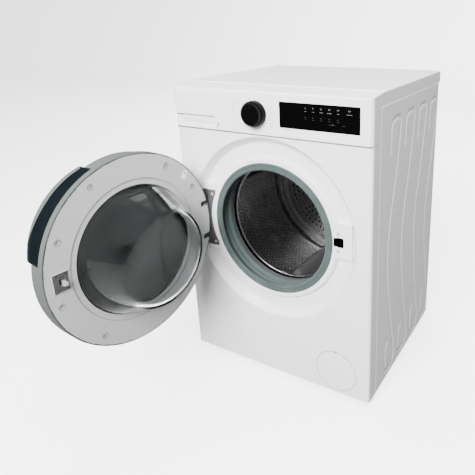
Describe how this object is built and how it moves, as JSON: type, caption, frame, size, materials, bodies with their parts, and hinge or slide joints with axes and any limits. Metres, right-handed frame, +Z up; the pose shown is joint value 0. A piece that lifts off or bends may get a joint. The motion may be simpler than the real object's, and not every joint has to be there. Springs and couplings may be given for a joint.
{
  "type": "front load washing machine",
  "caption": "Front-loading washing machine with its round glass door open, dished front, rotary selector, display and detergent drawer, with its tub, drum and drive inside.",
  "frame": {"origin": "on the floor, at the middle of the four feet", "axes": "+X to the machine's right seen from the front, +Y to its back, +Z up"},
  "size_m": [0.6027, 1.0156, 0.845],
  "materials": {
    "painted_steel": "satin white enamel",
    "galvanised_steel": "galvanised",
    "white_plastic": "satin white moulding",
    "worktop_white": "satin white laminate",
    "black_gloss": "gloss black",
    "knob_black": "satin black with gloss rim",
    "circuit_board": "solder mask",
    "grey_plastic": "moulded",
    "ring_grey": "fine-grained moulding",
    "ring_silver": "satin silver-grey",
    "cover_dark": "gloss blue-black",
    "glass_clear": "clear moulded glass",
    "seal_rubber": "matt grey-green",
    "black_rubber": "matt",
    "stainless": "polished, embossed",
    "zinc_cast": "cast",
    "bright_steel": "plated",
    "tub_plastic": "glass-filled moulding",
    "concrete": "cast",
    "aluminium_cast": "cast",
    "lifter_plastic": "moulded"
  },
  "bodies": {
    "cabinet": {"side_panel_left": "painted_steel", "side_panel_right": "painted_steel", "front_panel": "painted_steel", "rear_panel": "galvanised_steel", "base_tray": "grey_plastic", "levelling_feet": "black_rubber", "foot_lock_nuts": "bright_steel", "worktop": "worktop_white", "cross_brace": "galvanised_steel", "console": "white_plastic", "display_window": "black_gloss", "control_board": "circuit_board", "dispenser_housing": "grey_plastic", "inlet_valve": "white_plastic", "fill_hose": "black_rubber", "dispenser_bellows": "black_rubber", "damper_cylinders": "grey_plastic", "suspension_springs": "bright_steel", "drain_pump": "grey_plastic", "sump_hose": "black_rubber", "drain_hose": "grey_plastic", "power_module": "grey_plastic", "mains_gland": "black_rubber", "door_lock": "black_gloss", "hinge_bracket": "zinc_cast", "front_screws": "bright_steel", "door_seal": "seal_rubber"},
    "tub": {"tub_front": "tub_plastic", "tub_rear": "tub_plastic", "drum_bearings": "bright_steel", "shaft_seal": "black_rubber", "counterweight_front": "concrete", "counterweight_top": "concrete", "heating_element": "bright_steel", "seal_clamp_band": "bright_steel", "motor_housing": "galvanised_steel", "drive_belt": "black_rubber", "damper_rods": "bright_steel"},
    "drum": {"drum_shell": "stainless", "drum_back": "stainless", "drum_lifters": "lifter_plastic", "drum_spider": "aluminium_cast", "drum_pulley": "aluminium_cast"},
    "rotor": {"motor_rotor": "bright_steel"},
    "door": {"door_inner_ring": "ring_grey", "door_outer_ring": "ring_silver", "door_cover": "cover_dark", "door_grip": "cover_dark", "door_glass": "glass_clear", "hinge_leaf": "zinc_cast", "door_pins": "bright_steel", "door_screws": "bright_steel", "hook_plate": "zinc_cast"},
    "hook": {"door_hook": "bright_steel"},
    "drawer": {"drawer_tray": "grey_plastic", "drawer_front": "white_plastic", "siphon_cap": "grey_plastic"},
    "knob": {"selector_knob": "knob_black"},
    "flap": {"filter_flap": "white_plastic"},
    "filter": {"filter_cap": "grey_plastic"}
  },
  "joints": [
    {"name": "door_swing", "type": "hinge", "parent": "cabinet", "child": "door", "pos_m": [-0.23, -0.267, 0.458], "axis": [0, 0, 1], "range_deg": [-15, 95]},
    {"name": "latch_hook", "type": "hinge", "parent": "door", "child": "hook", "pos_m": [-0.26022, -0.69851, 0.464], "axis": [0, 0, 1], "range_deg": [0, 8], "stiffness_Nm_per_rad": 0.15, "springref_deg": -5.73},
    {"name": "program_knob", "type": "hinge", "parent": "cabinet", "child": "knob", "pos_m": [-0.022, -0.265, 0.781], "axis": [0, 1, 0], "continuous": true},
    {"name": "drawer_slide", "type": "slide", "parent": "cabinet", "child": "drawer", "axis": [0, -1, 0], "range_m": [0, 0.2]},
    {"name": "tub_float", "type": "slide", "parent": "cabinet", "child": "tub", "axis": [0, 0, 1], "range_m": [-0.012, 0.01], "stiffness_N_per_m": 24000, "springref_m": 0.01211, "deforming": ["suspension_springs", "door_seal", "dispenser_bellows", "sump_hose"]},
    {"name": "drum_spin", "type": "hinge", "parent": "tub", "child": "drum", "pos_m": [0, 0, 0.46], "axis": [0, 1, 0], "continuous": true},
    {"name": "motor_spin", "type": "hinge", "parent": "tub", "child": "rotor", "pos_m": [-0.04, 0.2, 0.128], "axis": [0, 1, 0], "continuous": true},
    {"name": "filter_hatch", "type": "hinge", "parent": "cabinet", "child": "flap", "pos_m": [0.2, -0.254, 0.0205], "axis": [1, 0, 0], "range_deg": [0, 85]},
    {"name": "filter_turn", "type": "hinge", "parent": "cabinet", "child": "filter", "pos_m": [0.2, -0.235, 0.08], "axis": [0, 1, 0], "range_deg": [-90, 0]}
  ],
  "couplings": [
    {"joint": "motor_spin", "follows": "drum_spin", "ratio": 12.727}
  ]
}
